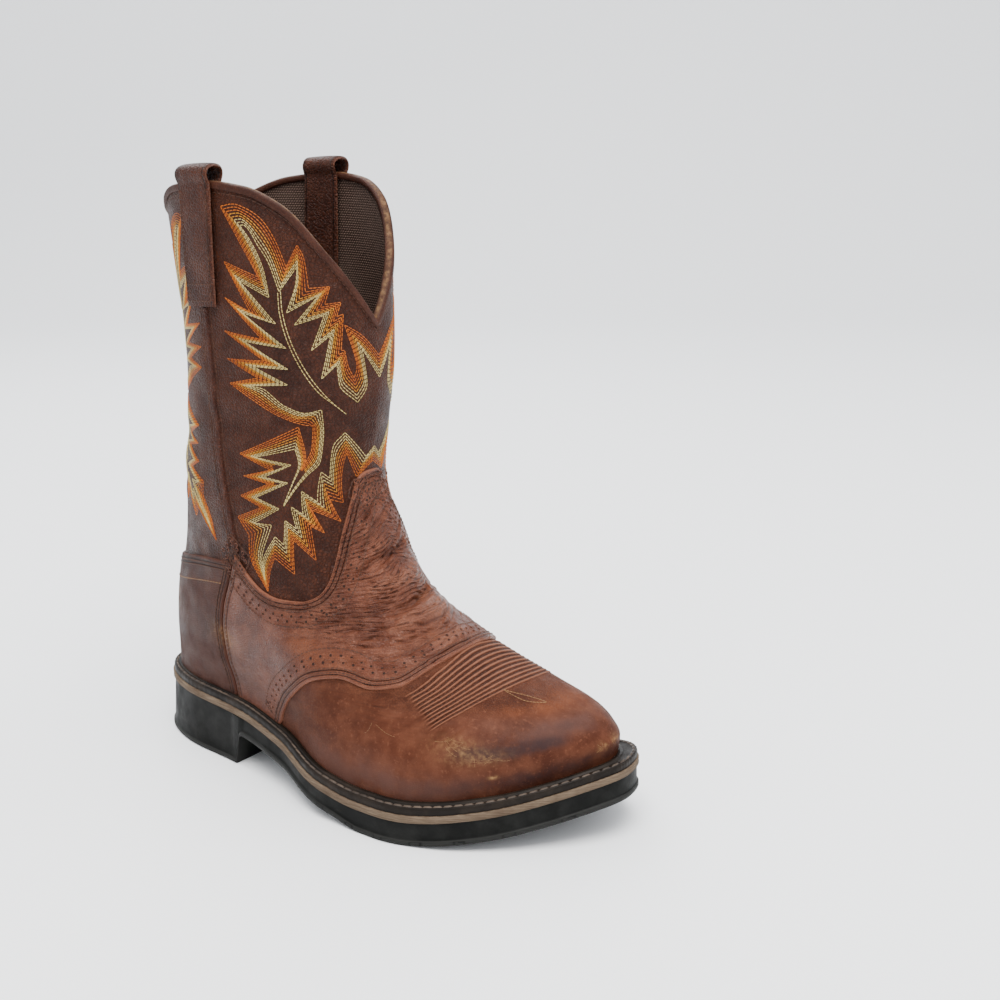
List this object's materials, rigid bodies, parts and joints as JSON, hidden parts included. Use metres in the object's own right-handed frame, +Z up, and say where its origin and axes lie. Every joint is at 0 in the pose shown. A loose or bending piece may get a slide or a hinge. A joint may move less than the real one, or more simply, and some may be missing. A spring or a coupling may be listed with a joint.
{
  "type": "western work boot",
  "caption": "Western pull-on work boot for the right foot: round toe, saddle vamp, heel counter, scalloped collar with pull straps, stitched welt, one-piece rubber sole.",
  "frame": {"origin": "On the floor, at the middle of the heel block's underside.", "axes": "+X to the toe, +Y to the inner side of the right foot (the wearer's left), +Z up along the shaft."},
  "size_m": [0.3048, 0.1193, 0.3267],
  "materials": {
    "outsole_rubber": "matte black moulded rubber",
    "midsole_tan": "matte tan, sanded edge",
    "welt_leather": "dark brown, stitched",
    "insole_cover": "dark woven cover",
    "shaft_leather": "dark red-brown tumbled leather, satin, embroidered",
    "vamp_leather": "mid brown full-grain leather, satin, worn lighter",
    "counter_leather": "dark brown leather, satin",
    "binding_leather": "light brown folded leather",
    "strap_leather": "brown leather, satin"
  },
  "bodies": {
    "root": {"outsole": "outsole_rubber", "midsole": "midsole_tan", "welt": "welt_leather", "insole": "insole_cover", "upper": "shaft_leather", "saddle_vamp": "vamp_leather", "counter": "counter_leather", "side_seam_outer": "shaft_leather", "side_seam_inner": "shaft_leather", "collar_binding": "binding_leather", "pull_strap_outer": "strap_leather", "pull_strap_inner": "strap_leather"}
  },
  "joints": []
}
